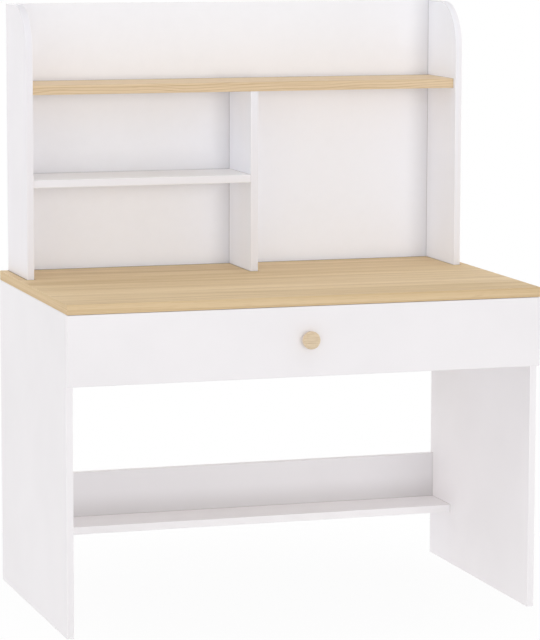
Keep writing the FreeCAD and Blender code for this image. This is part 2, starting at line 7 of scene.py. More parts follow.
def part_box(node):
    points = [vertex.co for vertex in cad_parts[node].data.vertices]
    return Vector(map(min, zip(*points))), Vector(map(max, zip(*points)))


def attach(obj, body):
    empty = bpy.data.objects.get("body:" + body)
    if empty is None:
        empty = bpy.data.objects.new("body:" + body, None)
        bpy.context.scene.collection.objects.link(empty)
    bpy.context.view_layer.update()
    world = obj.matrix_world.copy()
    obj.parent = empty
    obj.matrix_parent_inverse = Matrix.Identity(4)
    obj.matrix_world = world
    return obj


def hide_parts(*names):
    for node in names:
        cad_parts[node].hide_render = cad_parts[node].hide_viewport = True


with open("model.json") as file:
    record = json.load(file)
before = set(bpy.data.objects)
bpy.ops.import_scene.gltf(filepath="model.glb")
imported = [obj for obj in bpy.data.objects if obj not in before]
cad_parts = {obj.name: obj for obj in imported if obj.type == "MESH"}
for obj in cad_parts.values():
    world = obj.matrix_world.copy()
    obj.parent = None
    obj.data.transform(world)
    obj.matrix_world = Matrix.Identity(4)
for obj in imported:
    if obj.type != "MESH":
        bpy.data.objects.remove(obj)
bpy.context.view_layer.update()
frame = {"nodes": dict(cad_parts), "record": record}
cadNodes = frame["nodes"]
bodies = frame["record"]["behaviour"]["bodies"]
bodyOfNode = {node: body for body, nodes in bodies.items() for node in nodes}
slotOfNode = {row["node"]: row["material_slot"] for row in frame["record"]["subparts"]}
print("frame loaded:", len(cadNodes), "pieces")


def middleOf(node):
    return np.mean(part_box(node), axis=0).tolist()


def srgb(red, green, blue):  # a screen colour, 0 to 255, as the linear colour that sockets take
    share = np.array([red, green, blue]) / 255
    linear = np.where(share <= 0.04045, share / 12.92, ((share + 0.055) / 1.055) ** 2.4)
    return (*linear.tolist(), 1.0)


def darker(colour, share):
    return (*(share * part for part in colour[:3]), 1.0)


class Wire:  # one socket; sums and products of wires add Math nodes
    def __init__(self, finish, socket):
        self.finish = finish
        self.socket = socket

    def math(self, operation, first, second=0.0):
        return self.finish.node("Math", {"operation": operation}, {0: first, 1: second})

    def __add__(self, other):
        return self.math("ADD", self, other)

    def __sub__(self, other):
        return self.math("SUBTRACT", self, other)

    def __rsub__(self, other):
        return self.math("SUBTRACT", other, self)

    def __mul__(self, other):
        return self.math("MULTIPLY", self, other)

    def __pow__(self, other):
        return self.math("POWER", self, other)

    def __abs__(self):
        return self.math("ABSOLUTE", self)

    __radd__ = __add__
    __rmul__ = __mul__

    def least(self, other):
        return self.math("MINIMUM", self, other)

    def most(self, other):
        return self.math("MAXIMUM", self, other)

    def sine(self):
        return self.math("SINE", self)

    def below(self, limit):
        return self.math("LESS_THAN", self, limit)

    def rise(self, start, end):  # 0 before start, 1 after end, eased between them
        edges = {"Value": self, "From Min": start, "From Max": end, "To Min": 0.0, "To Max": 1.0}
        return self.finish.node("MapRange", {"interpolation_type": "SMOOTHSTEP"}, edges)

    def other(self, name):  # another output of the same node
        return Wire(self.finish, self.socket.node.outputs[name])


white = (1.0, 1.0, 1.0, 1.0)
noiseMiddle = 0.5
seedSteps = (1.0, 1.7, 2.3)  # how a noise's seed moves it along x, y and z


class Finish:  # a material or world, and the one way its nodes are made
    def __init__(self, holder):
        holder.use_nodes = True
        self.holder = holder
        self.tree = holder.node_tree
        self.tree.nodes.clear()

    def node(self, kind, settings, sockets, out=0):
        made = self.tree.nodes.new("ShaderNode" + kind)
        for word, value in settings.items():
            setattr(made, word, value)
        for word, value in sockets.items():
            if isinstance(value, Wire):
                self.tree.links.new(value.socket, made.inputs[word])
            else:
                made.inputs[word].default_value = value
        return Wire(self, made.outputs[out]) if made.outputs else None

    def place(self, location=(0, 0, 0), scale=(1, 1, 1), own=None):  # a point, scaled and then shifted
        own = own or self.node("TexCoord", {}, {}, "Object")
        return self.node("Mapping", {}, {"Vector": own, "Location": location, "Scale": scale})

    def split(self, vector):
        first = self.node("SeparateXYZ", {}, {"Vector": vector})
        return first, first.other("Y"), first.other("Z")

    def noise(self, layer, seed, own=None):  # layer: scale, detail, roughness, shift of the seed
        scale, detail, rough, shift = layer
        scale = scale if isinstance(scale, tuple) else (scale,) * 3
        at = self.place(tuple(step * (seed + shift) for step in seedSteps), scale, own)
        return self.node("TexNoise", {}, {"Vector": at, "Scale": 1.0, "Detail": detail, "Roughness": rough})

    def blend(self, share, first, second, kind="MIX"):  # Mix has its colours at inputs 6 and 7 and output 2
        settings = {"data_type": "RGBA", "blend_type": kind}
        return self.node("Mix", settings, {0: share, 6: first, 7: second}, 2)

    def seen(self):  # 1 for what the camera sees, straight or in a mirror or glass
        path = self.node("LightPath", {}, {}, "Is Camera Ray")
        return path.most(path.other("Is Glossy Ray")).most(path.other("Is Transmission Ray"))

    def surface(self, shader, height, depth, strength):
        bump = self.node("Bump", {}, {"Strength": strength, "Distance": depth, "Height": height})
        body = self.node("BsdfPrincipled", {}, dict(shader, Normal=bump))
        self.node("OutputMaterial", {}, {"Surface": body})
        return self.holder


def newFinish(name):
    return Finish(bpy.data.materials.new(name))


def dress(node, material):  # puts a finish on a construction piece
    slots = cadNodes[node].material_slots
    for slot in slots:
        slot.material = material
    if not slots:
        cadNodes[node].data.materials.append(material)


# Boards: how far a point lies inside its board's edges gives the edge band's joint and the rubbed edges,
# whose lighter tone is partly wear and partly a painted highlight
edgeBand = {"thickness": 0.0011, "jointWidth": 0.0005, "handled": 0.0018, "faceSkin": 0.0004}


def boardEdges(finish, node, corner=0.0):
    low, high = (np.array(end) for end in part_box(node))
    half = ((high - low) / 2).tolist()
    flat = int(np.argmin(half))
    coords = finish.split(finish.place(tuple(-(low + high) / 2)))
    inset = [reach - abs(axis) for reach, axis in zip(half, coords)]
    first, second = [inset[axis] for axis in range(3) if axis != flat]
    rim = first.least(second)
    if corner:  # the front top corner is an arc: its radius less the distance from its centre
        front = (corner - half[1] - coords[1]).most(0.0)
        top = (corner - half[2] + coords[2]).most(0.0)
        rim = rim.least(corner - (front * front + top * top) ** 0.5)
    onFace = inset[flat].below(edgeBand["faceSkin"])
    joint = 1 - abs(rim - edgeBand["thickness"]).rise(0.0, edgeBand["jointWidth"])
    handled = 1 - rim.most(inset[flat]).rise(0.0, edgeBand["handled"])
    return onFace, joint * onFace, handled


# Seams: a dark line on a board's face along each board that meets it there, a dark joint that is partly
# painted shadow of the gap, and painted contact shadow where the line is wide; beside it, painted shade
# darkens the crease and fades out
# The soft, foot and shelf lines are wide painted contact shadows; the reach is how far the painted crease
# shade spreads
seamLook = {"fine": 0.0011, "soft": 0.005, "foot": 0.014, "shelf": 0.016, "dustReach": 0.06}
seams = {  # board: the kinds of line on its face, each with the boards it runs along
    "hutch_back_panel": {
        "fine": ["hutch_left_side", "hutch_right_side", "hutch_divider", "hutch_small_shelf"],
    },
    "hutch_long_shelf": {"shelf": ["hutch_back_panel"]},
    "hutch_left_side": {"fine": ["hutch_long_shelf", "hutch_small_shelf", "hutch_back_panel"]},
    "hutch_right_side": {"fine": ["hutch_long_shelf", "hutch_back_panel"]},
    "hutch_divider": {"fine": ["hutch_small_shelf", "hutch_back_panel"]},
    "desktop": {
        "soft": ["hutch_left_side", "hutch_right_side", "hutch_divider"],
        "foot": ["hutch_back_panel"],
    },
    "lower_stretcher": {"fine": ["footrest_shelf", "left_side_panel"]},
    "left_side_panel": {"fine": ["lower_stretcher", "footrest_shelf", "rear_apron"]},
    "right_side_panel": {"fine": ["lower_stretcher", "footrest_shelf", "rear_apron"]},
    "drawer_bottom": {"fine": ["drawer_left_side", "drawer_right_side"]},
}


def greatest(wires):
    found = wires[0]
    for wire in wires[1:]:
        found = found.most(wire)
    return found


def seamShadeLines(finish, node, onFace):
    # How far a point lies past another board's outline is the larger of how far it lies past its ends, along
    # and up the face. The line shows on the face towards that board, or on both where it reaches past both
    low, high = (np.array(end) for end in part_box(node))
    middle = ((low + high) / 2).tolist()
    flat = int(np.argmin(high - low))
    first, second = [axis for axis in range(3) if axis != flat]
    coords = finish.split(finish.place())
    lines, creaseShades = [], []
    for kind, others in seams[node].items():
        for other in others:
            otherLow, otherHigh = (np.array(end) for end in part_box(other))
            centre = ((otherLow + otherHigh) / 2).tolist()
            half = ((otherHigh - otherLow) / 2).tolist()
            along = abs(coords[first] - centre[first]) - half[first]
            up = abs(coords[second] - centre[second]) - half[second]
            away = along.most(up)
            toward = -1.0 if centre[flat] < middle[flat] else 1.0
            shown = ((middle[flat] - coords[flat]) * toward).below(0.0)
            if otherLow[flat] < low[flat] and high[flat] < otherHigh[flat]:
                shown = onFace
            # The line is partly a dark joint and partly painted shadow; the second is painted shade in the
            # crease, fading out away from the other board
            lines.append((1 - abs(away).rise(0.0, seamLook[kind])) * shown)
            creaseShades.append((1 - away.rise(0.0, seamLook["dustReach"])) * shown)
    return greatest(lines) * onFace, greatest(creaseShades) * onFace


# White boards: melamine foil, faintly clouded, with an embossed grain and edge bands of its own white
melamine = {
    "white": srgb(240, 237, 239), "band": srgb(241, 238, 240), "bandCover": 0.8,
    "lining": None,  # the inner side's white, which differs from the outer side's as painted light and shade for the light inside
    "fade": None,  # the heights over which the inner white's painted shade fades in, so it is darker towards the top
    "along": 2,  # the axis of the grain
    "corner": 0.0,  # the radius of the front top corner
    # The rub tone, lighter than the white, is partly rubbed wear and partly a painted highlight along the
    # edges
    "joint": srgb(176, 171, 169), "glue": 0.3, "rub": srgb(246, 244, 244), "rubShare": 0.3,
    # The seam tone is painted shadow along the joints, and the share after it is painted shade in the creases
    "seam": srgb(166, 160, 157), "dust": 0.06,
    "cloud": (3.1, 3.0, 0.6, 0.0), "cloudEdges": (0.3, 0.75), "cloudShare": 0.965,
    "emboss": (240.0, 3.0, 0.55, 3.1), "embossAlong": 7.0, "embossEdges": (0.55, 0.8), "embossShare": 0.3,
    "peel": (1400.0, 1.0, 0.5, 0.0),
    "gloss": 0.42, "cloudDull": 0.1, "embossDull": 0.06, "handledShine": 0.08, "specular": 0.4,
    "embossRise": 0.6, "peelRise": 0.2, "jointDrop": 0.8, "relief": (0.00012, 0.35),
}


def melamineFinish(node, seed, look):
    finish = newFinish(node + "_melamine")
    onFace, joint, handled = boardEdges(finish, node, look["corner"])
    across, *rest = look["emboss"]
    stretch = [across] * 3
    stretch[look["along"]] = look["embossAlong"]
    cloud = finish.noise(look["cloud"], seed)
    emboss = finish.noise((tuple(stretch), *rest), seed)
    peel = finish.noise(look["peel"], seed)
    pale = look["white"]
    shade = darker(pale, look["cloudShare"])
    # Painted light and shade on the inner side: a cooler white inside the hutch, and on the right leg a
    # darker white towards the top, under the drawer
    if look["lining"]:
        coords = finish.split(finish.place())
        inner = abs(coords[0]).below(abs(middleOf(node)[0]))
        inner = inner * coords[2].rise(*look["fade"]) if look["fade"] else inner
        pale = finish.blend(inner, pale, look["lining"])
        shade = finish.blend(inner, shade, darker(look["lining"], look["cloudShare"]))
    colour = finish.blend(cloud.rise(*look["cloudEdges"]), pale, shade)
    colour = finish.blend(emboss.rise(*look["embossEdges"]) * look["embossShare"], colour, shade)
    colour = finish.blend((1 - onFace) * look["bandCover"], colour, look["band"])
    # A lighter tone along the edges: partly rubbed wear, partly a painted highlight
    colour = finish.blend(handled * cloud * look["rubShare"], colour, look["rub"])
    colour = finish.blend(joint * look["glue"], colour, look["joint"])
    # Painted shadow along the joints with other boards, and painted shade in the creases beside them
    if node in seams:
        line, dust = seamShadeLines(finish, node, onFace)
        colour = finish.blend(line.most(dust * look["dust"]), colour, look["seam"])
    dull = cloud * look["cloudDull"] + emboss * look["embossDull"] - handled * look["handledShine"]
    shader = {
        "Base Color": colour,
        "Roughness": look["gloss"] + dull,
        "Specular IOR Level": look["specular"],
    }
    height = emboss * look["embossRise"] + peel * look["peelRise"] - joint * look["jointDrop"]
    return finish.surface(shader, height, *look["relief"])


# Painted light and shade: the hutch's darker bands shade its front edges, its cooler white offsets the warm
# light bounced from the oak, the right leg and the small shelf take a lighter white, and the stretcher a
# darker white and more painted crease shade, for how light falls on them
hutchCorner = 0.107
hutchShadedBand = srgb(231, 229, 234)
hutchPaintedCoolWhite = srgb(239, 241, 248)
rightLitWhite = srgb(243, 240, 242)
drawerBox = {"white": srgb(238, 236, 236), "gloss": 0.5}
whiteBoards = {
    "left_side_panel": {},
    "right_side_panel": {
        "white": rightLitWhite, "band": rightLitWhite, "lining": srgb(233, 230, 232), "fade": (0.14, 0.6),
    },
    "rear_apron": {"along": 0},
    "lower_stretcher": {"along": 0, "white": srgb(236, 234, 236), "dust": 0.3},
    "footrest_shelf": {"along": 0, "white": srgb(248, 245, 247), "band": srgb(249, 247, 248)},
    "drawer_front": {"along": 0, "glue": 0.2},
    "hutch_left_side": {"corner": hutchCorner, "band": hutchShadedBand, "white": srgb(238, 235, 238)},
    "hutch_right_side": {
        "corner": hutchCorner, "band": srgb(235, 233, 237), "lining": hutchPaintedCoolWhite, "glue": 0.9,
    },
    "hutch_divider": {"band": hutchShadedBand, "white": hutchPaintedCoolWhite, "glue": 0.9},
    "hutch_small_shelf": {"along": 0, "band": hutchShadedBand, "white": srgb(248, 249, 252), "glue": 0.6},
    "drawer_left_side": dict(drawerBox, along=1),
    "drawer_right_side": dict(drawerBox, along=1),
    "drawer_back": dict(drawerBox, along=0),
}
boardSeedStep = 2.7
for turn, (node, change) in enumerate(whiteBoards.items()):
    dress(node, melamineFinish(node, boardSeedStep * turn, dict(melamine, **change)))
print("white boards:", len(whiteBoards))

# Thin panels: painted hardboard, faintly mottled, with a raw brown edge and a plainer rear; above the long
# shelf and in the upper left bay a darker, warmer white is painted shade
panel = {
    "white": srgb(246, 248, 255), "cream": srgb(241, 241, 245), "rear": srgb(236, 234, 233), "skin": 0.0001,
    # The seam tone is painted shadow along the joints, and the share after it is painted shade in the creases
    "raw": srgb(150, 118, 88), "rawCover": 0.9, "seam": srgb(160, 157, 160), "dust": 0.14,
    "cloud": (2.3, 2.0, 0.5, 0.0), "mottle": (38.0, 4.0, 0.6, 0.0), "press": (900.0, 2.0, 0.6, 0.0),
    "cloudPart": 0.6, "mottlePart": 0.4, "cloudEdges": (0.35, 0.7), "cloudShare": 0.975,
    "gloss": 0.5, "mottleDull": 0.12, "specular": 0.35,
    "mottleRise": 0.4, "pressRise": 0.5, "relief": (0.00015, 0.3),
}


def paintedShadeAreas(x, z):
    # 1 where the white is darker and warmer as painted shade: above the long shelf, and over the small shelf
    # left of the divider
    above = 1 - z.below(middleOf("hutch_long_shelf")[2])
    overSmall = 1 - z.below(middleOf("hutch_small_shelf")[2])
    return above.most(x.below(middleOf("hutch_divider")[0]) * overSmall)


def panelFinish(node, seed, axis, outside):
    # axis: the one through the panel's thickness; outside: the way its rear looks along it
    finish = newFinish(node + "_painted")
    onFace = boardEdges(finish, node)[0]
    cloud = finish.noise(panel["cloud"], seed)
    mottle = finish.noise(panel["mottle"], seed)
    press = finish.noise(panel["press"], seed)
    coords = finish.split(finish.place())
    toRear = outside * (coords[axis] - middleOf(node)[axis])
    clouds = (cloud * panel["cloudPart"] + mottle * panel["mottlePart"]).rise(*panel["cloudEdges"])
    clouded = finish.blend(clouds, white, darker(white, panel["cloudShare"]))
    colour = finish.blend(paintedShadeAreas(coords[0], coords[2]), panel["white"], panel["cream"])
    colour = finish.blend(toRear.rise(0.0, panel["skin"]), colour, panel["rear"])
    colour = finish.blend(1.0, colour, clouded, "MULTIPLY")
    colour = finish.blend((1 - onFace) * panel["rawCover"], colour, panel["raw"])
    # Painted shadow along the joints with other boards, and painted shade in the creases beside them
    line, dust = seamShadeLines(finish, node, onFace)
    colour = finish.blend(line.most(dust * panel["dust"]), colour, panel["seam"])
    shader = {
        "Base Color": colour,
        "Roughness": panel["gloss"] + mottle * panel["mottleDull"],
        "Specular IOR Level": panel["specular"],
    }
    height = mottle * panel["mottleRise"] + press * panel["pressRise"]
    return finish.surface(shader, height, *panel["relief"])


thinPanels = {
    "hutch_back_panel": {"seed": 0.0, "axis": 1, "outside": 1.0},
    "drawer_bottom": {"seed": 5.3, "axis": 2, "outside": -1.0},
}
for node, lie in thinPanels.items():
    dress(node, panelFinish(node, **lie))
print("thin panels:", len(thinPanels))

# Wood: growth lines are a sine of depth into the log, bent by slow noise. Bands, streaks, fibres and pores
# are noise stretched along the grain. At a board's two ends the grain turns to run along the edge band
woodLayers = {  # name: detail, roughness, shift of the seed
    "drift": (2.0, 0.5, 0.0), "wave": (3.0, 0.5, 1.3), "broad": (2.0, 0.5, 2.9), "band": (2.0, 0.5, 6.7),
    "streak": (4.0, 0.6, 4.1), "fibre": (2.0, 0.6, 0.0), "pores": (1.0, 0.5, 0.0),
}
oak = {
    "pale": srgb(226, 203, 172), "mid": srgb(220, 197, 164), "dark": srgb(188, 160, 123),
    # The seam tone and its share are painted shadow along the joints; the last share is painted shade in the
    # creases
    "pore": srgb(167, 136, 97), "seam": srgb(112, 90, 64), "seamShare": 0.75, "dust": 0.07,
    "tilt": (-0.12, 0.75, 4.0),  # how fast depth grows along x, y and z
    "faceSlant": 0.03,  # the same along x on a board's faces
    "ringGap": 0.029, "ringEdges": (0.3, 1.0), "ringFloor": 0.2, "warp": 0.22, "flutter": 0.01,
    "seed": 30.1, "drift": (2.6, 2.6, 9.0), "wave": (6.0, 17.0, 60.0), "broad": (0.5, 9.0, 36.0),
    "band": (0.8, 26.0, 120.0), "streak": (1.6, 70.0, 260.0), "fibre": (9.0, 620.0, 900.0),
    "pores": (24.0, 1250.0, 1250.0),
    "broadEdges": (0.3, 0.7), "bandEdges": (0.45, 0.7), "streakEdges": (0.5, 0.75),
    "fibreEdges": (0.4, 0.8), "poreEdges": (0.6, 0.72),
    "ringShare": 0.65, "bandShare": 0.45, "streakShare": 0.5, "fibreShare": 0.16, "poreShare": 0.3,
    # The first two here are painted shade on a board's edge faces and painted light on its broad faces; the
    # last is a paler edge, partly rubbed wear and partly a painted highlight
    "edgeShade": 0.0, "faceLift": 0.6, "jointShare": 0.1, "handledShare": 0.06,
    "gloss": 0.6, "fibreDull": 0.1, "poreDull": 0.12, "specular": 0.12,
    "fibreRise": 0.4, "poreDrop": 0.7, "ringDrop": 0.12, "jointDrop": 0.5, "relief": (0.00012, 0.35),
}


def woodFinish(name, look, node=None):
    finish = newFinish(name)
    x, y, z = finish.split(finish.place())
    slant, acrossY, acrossZ = look["tilt"]
    if node:
        onFace, joint, handled = boardEdges(finish, node)
        slant = (1 - onFace) * (slant - look["faceSlant"]) + look["faceSlant"]
        low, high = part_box(node)
        end = ((high[0] - low[0]) / 2 - abs(x - (low[0] + high[0]) / 2)).below(edgeBand["faceSkin"])
        x, y = x + end * (y - x), y + end * (x - y)
    own = finish.node("CombineXYZ", {}, {"X": x, "Y": y, "Z": z})
    layer = {word: finish.noise((look[word], *rest), look["seed"], own) for word, rest in woodLayers.items()}
    streak, fibre = layer["streak"], layer["fibre"]
    pore = layer["pores"].rise(*look["poreEdges"])
    drift, wave = layer["drift"] - noiseMiddle, layer["wave"] - noiseMiddle
    bend = drift * look["warp"] + wave * look["flutter"]
    into = x * slant + y * acrossY + z * acrossZ + bend
    ring = (into * (2 * np.pi / look["ringGap"])).sine().rise(*look["ringEdges"])
    dark = look["dark"]
    colour = finish.blend(layer["broad"].rise(*look["broadEdges"]), look["pale"], look["mid"])
    colour = finish.blend(layer["band"].rise(*look["bandEdges"]) * look["bandShare"], colour, dark)
    colour = finish.blend(ring * (streak + look["ringFloor"]) * look["ringShare"], colour, dark)
    colour = finish.blend(streak.rise(*look["streakEdges"]) * look["streakShare"], colour, dark)
    colour = finish.blend(fibre.rise(*look["fibreEdges"]) * look["fibreShare"], colour, dark)
    colour = finish.blend(pore * look["poreShare"], colour, look["pore"])
    height = fibre * look["fibreRise"] - pore * look["poreDrop"] - ring * look["ringDrop"]
    if node:
        # Painted shade darkens the edge faces and painted light pales the broad faces
        colour = finish.blend((1 - onFace) * look["edgeShade"], colour, dark)
        colour = finish.blend(onFace * look["faceLift"], colour, look["pale"])
        colour = finish.blend(joint * look["jointShare"], colour, look["pore"])
        # Painted shadow along the joints with other boards, and painted shade in the creases beside them
        line, dust = seamShadeLines(finish, node, onFace)
        colour = finish.blend(line * look["seamShare"], colour, look["seam"])
        colour = finish.blend(dust * look["dust"], colour, look["pore"])
        # A paler tone along the edges: partly rubbed wear, partly a painted highlight
        colour = finish.blend(handled * look["handledShare"], colour, look["pale"])
        height = height - joint * look["jointDrop"]
    shader = {
        "Base Color": colour,
        "Roughness": look["gloss"] + fibre * look["fibreDull"] + pore * look["poreDull"],
        "Specular IOR Level": look["specular"],
    }
    return finish.surface(shader, height, *look["relief"])


dress("hutch_long_shelf", woodFinish("long_shelf_oak", oak, "hutch_long_shelf"))
topOak = dict(
    oak, pale=srgb(235, 212, 176), mid=srgb(223, 198, 159), dark=srgb(194, 165, 124),
    seed=7.9, tilt=(0.03, 0.75, 4.0), ringGap=0.074, warp=0.2, drift=(0.7, 2.6, 9.0),
    ringShare=0.32, bandShare=0.42, streakShare=0.58, edgeShade=0.36, faceLift=0.0, seamShare=0.95,
)
dress("desktop", woodFinish("desktop_oak", topOak, "desktop"))

pine = dict(
    oak, pale=srgb(226, 205, 170), mid=srgb(215, 190, 152), dark=srgb(190, 158, 114),
    seed=21.0, ringGap=0.008, warp=0.02, gloss=0.62,
)
dress("drawer_bottom_batten", woodFinish("batten_pine", pine))
beech = dict(
    pine, pale=srgb(222, 195, 158), mid=srgb(212, 182, 143),
    seed=3.3, ringGap=0.003, warp=0.004, gloss=0.66,
)
beechFinish = woodFinish("dowel_beech", beech)
for node in ["carcass_dowels", "hutch_dowels", "drawer_dowels"]:
    dress(node, beechFinish)
print("wood done")

# Small metal and plastic: colour and sheen vary with fine noise
smoothLook = {
    "grain": (3.0, 0.6, 0.0), "cloud": (60.0, 2.0, 0.5, 4.4), "cloudEdges": (0.35, 0.75),
    "cloudShare": 0.7, "grainShare": 0.3, "grainDull": 0.14, "cloudDull": 0.06, "relief": (0.00004, 0.3),
}
smoothKinds = {  # tone, dull tone, gloss, scale of the grain, metallic
    "zinc": (srgb(196, 198, 202), srgb(160, 161, 164), 0.3, 900.0, 1.0),
    "cast": (srgb(178, 178, 180), srgb(146, 146, 148), 0.42, 1500.0, 1.0),
    "enamel": (srgb(236, 236, 235), srgb(226, 226, 224), 0.32, 420.0, 0.0),
    "nylon": (srgb(228, 227, 221), srgb(214, 212, 205), 0.45, 700.0, 0.0),
    "glide": (srgb(230, 230, 229), srgb(206, 205, 202), 0.5, 600.0, 0.0),
}


def smoothFinish(name, tone, dull, gloss, scale, metallic):
    finish = newFinish(name)
    grain = finish.noise((scale, *smoothLook["grain"]), 0.0)
    cloud = finish.noise(smoothLook["cloud"], 0.0)
    worn = cloud.rise(*smoothLook["cloudEdges"]) * smoothLook["cloudShare"] + grain * smoothLook["grainShare"]
    shader = {
        "Base Color": finish.blend(worn, tone, dull),
        "Metallic": metallic,
        "Roughness": gloss + grain * smoothLook["grainDull"] + cloud * smoothLook["cloudDull"],
    }
    return finish.surface(shader, grain, *smoothLook["relief"])


smooth = {kind: smoothFinish(kind + "_finish", *values) for kind, values in smoothKinds.items()}
kindOfSlot = {
    "zinc_steel": "zinc", "zinc_alloy": "cast", "runner_enamel": "enamel", "roller_plastic": "nylon",
    "glide_plastic": "glide",
}
for node, slot in slotOfNode.items():
    if slot in kindOfSlot:
        dress(node, smooth[kindOfSlot[slot]])
print("metal and plastic done")

# Turned pieces: an outline of rows, each a radius and a height, carried round an axis
turning = {
    "curve": [0.0, 0.08, 0.25, 0.5, 0.75, 0.92, 1.0],  # where a softened corner has its points
    "mostOfRun": 0.45,  # how much of a straight run a softened corner may use up
    "sharpFrom": np.radians(40), "ring": 48,
}
toLeft, toRight, toFront, toTop = (-1, 0, 0), (1, 0, 0), (0, -1, 0), (0, 0, 1)


def softCorners(outline, reach):
    # Each corner of an outline becomes a short curve: a quadratic from reach before it to reach after it
    points = np.array(outline, float)
    before, corner, after = points[:-2], points[1:-1], points[2:]
    back, ahead = before - corner, after - corner
    backLength = np.linalg.norm(back, axis=1, keepdims=True)
    aheadLength = np.linalg.norm(ahead, axis=1, keepdims=True)
    used = np.minimum(reach, turning["mostOfRun"] * np.minimum(backLength, aheadLength))
    start = (corner + back / backLength * used)[:, None]
    end = (corner + ahead / aheadLength * used)[:, None]
    step = np.array(turning["curve"])[None, :, None]
    curve = start * (1 - step) ** 2 + corner[:, None] * 2 * step * (1 - step) + end * step ** 2
    return np.concatenate([points[:1], curve.reshape(-1, 2), points[-1:]])


def turnedPoints(outline, lobes, places, toward, ring):
    # At each place: the row's radius times its lobe at that angle, out from the axis, and its height along it
    places = np.array(places, float)
    axis = np.broadcast_to(np.array(toward, float), places.shape)
    side = np.roll(np.abs(axis), 1, axis=1)
    up = np.cross(axis, side)
    angle = np.linspace(0, 2 * np.pi, ring, endpoint=False)[:, None]
    spoke = np.cos(angle) * side[:, None] + np.sin(angle) * up[:, None]
    radius = (outline[:, :1] * lobes)[None, ..., None]
    grid = radius * spoke[:, None] + outline[None, :, 1, None, None] * axis[:, None, None]
    return places[:, None, None] + grid


def turnedFaces(rows, ring, copies, loop):
    # Quads between neighbouring rows, wrapped round the ring. A loop joins its last row to its first, and any
    # other outline gets a cap on its first row and its last
    lower = np.arange(rows if loop else rows - 1)[:, None] * ring
    upper = (lower + ring) % (rows * ring)
    here = np.arange(ring)
    ahead = (here + 1) % ring
    corners = [lower + here, lower + ahead, upper + ahead, upper + here]
    quads = np.stack(corners, axis=-1).reshape(-1, 4)
    shift = np.arange(copies)[:, None] * rows * ring
    faces = (quads + shift[:, None]).reshape(-1, 4).tolist()
    if not loop:
        faces += (shift + here[::-1]).tolist() + (shift + (rows - 1) * ring + here).tolist()
    return faces


def turnedPiece(name, outline, places, toward, material, node, lobes=None, ring=turning["ring"], loop=False):
    outline = np.array(outline, float)
    lobes = np.ones((len(outline), ring)) if lobes is None else lobes
    points = turnedPoints(outline, lobes, places, toward, ring)
    mesh = bpy.data.meshes.new(name)
    mesh.from_pydata(points.reshape(-1, 3).tolist(), [], turnedFaces(len(outline), ring, len(places), loop))
    mesh.polygons.foreach_set("use_smooth", np.ones(len(mesh.polygons), bool))
    mesh.set_sharp_from_angle(angle=turning["sharpFrom"])
    mesh.materials.append(material)
    piece = bpy.data.objects.new(name, mesh)
    bpy.context.scene.collection.objects.link(piece)
    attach(piece, bodyOfNode[node])
    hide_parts(node)


# Knob: a turned mushroom with a barely crowned face
knob = {
    "neck": 0.011, "neckLength": 0.007, "flare": 0.011, "head": 0.020, "projection": 0.024, "crown": 0.0007,
    "rim": 0.007, "soften": 0.0025, "rimSteps": 14, "faceSteps": 10, "cap": 0.02, "ring": 96,
}
knobWood = dict(
    oak, pale=srgb(227, 209, 182), mid=srgb(217, 197, 168), dark=srgb(190, 164, 129),
    tilt=(0.0, 0.5, 1.0), ringGap=0.0042, ringShare=0.45, warp=0.006, flutter=0.002, gloss=0.4,
    seed=15.4, drift=(12.0, 40.0, 40.0), wave=(40.0, 160.0, 160.0), broad=(14.0, 120.0, 120.0),
    band=(20.0, 260.0, 260.0), streak=(22.0, 420.0, 420.0),
)


def knobOutline(look):
    # Neck, flare and back are softened straight runs; then a quarter ellipse for the rim and a parabola crown
    head, front, rim, crown = look["head"], look["projection"], look["rim"], look["crown"]
    neck = look["neck"]
    back = [(neck, 0.0), (neck, look["neckLength"]), (head, look["flare"]), (head, front - rim)]
    turn = np.linspace(0, np.pi / 2, look["rimSteps"])[1:]
    edge = np.stack([head - rim + rim * np.cos(turn), front - rim + (rim - crown) * np.sin(turn)], axis=1)
    share = np.linspace(1, look["cap"], look["faceSteps"])[1:]
    face = np.stack([(head - rim) * share, front - crown * share ** 2], axis=1)
    return np.concatenate([softCorners(back, look["soften"]), edge, face])


knobMiddle = middleOf("drawer_knob")
knobBase = (knobMiddle[0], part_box("drawer_knob")[1][1], knobMiddle[2])
knobFinish = woodFinish("knob_wood", knobWood)
turnedPiece("knob", knobOutline(knob), [knobBase], toFront, knobFinish, "drawer_knob", ring=knob["ring"])
print("knob done")

# Rollers: tread with eased rims, a shallow dish on each side and a hub round the pin
roller = {
    "width": 0.006, "bore": 0.00205, "hub": 0.0036, "dish": 0.0009, "slope": 0.0003, "rim": 0.0014,
    "soften": 0.00035, "ring": 64,
    "front": {"radius": 0.0075, "centre": (0.528, -0.282, 0.5892)},
    "rear": {"radius": 0.0087, "centre": (0.5273, 0.142, 0.5902)},
}


def rollerOutline(look, tread):
    # From the bore over hub, dish and rim to the middle of the tread, softened, then mirrored
    hub, dish, slope, inner = look["hub"], look["dish"], look["slope"], tread - look["rim"]
    half = [(look["bore"], 0.0), (hub, 0.0), (hub + slope, dish), (inner - slope, dish), (inner, 0.0)]
    half += [(tread, 0.0), (tread, look["width"] / 2)]
    lower = softCorners(half, look["soften"])
    upper = lower[::-1] * (1, -1) + (0, look["width"])
    return np.concatenate([lower, upper[1:]])


for end in ["front", "rear"]:
    outline = rollerOutline(roller, roller[end]["radius"])
    x, y, z = roller[end]["centre"]
    for hand, sign in {"left": -1, "right": 1}.items():
        node = f"{hand}_{end}_roller"
        place = (sign * x - roller["width"] / 2, y, z)
        rounds = {"ring": roller["ring"], "loop": True}
        turnedPiece(node + "_turned", outline, [place], toRight, smooth["nylon"], node, **rounds)
print("rollers done")

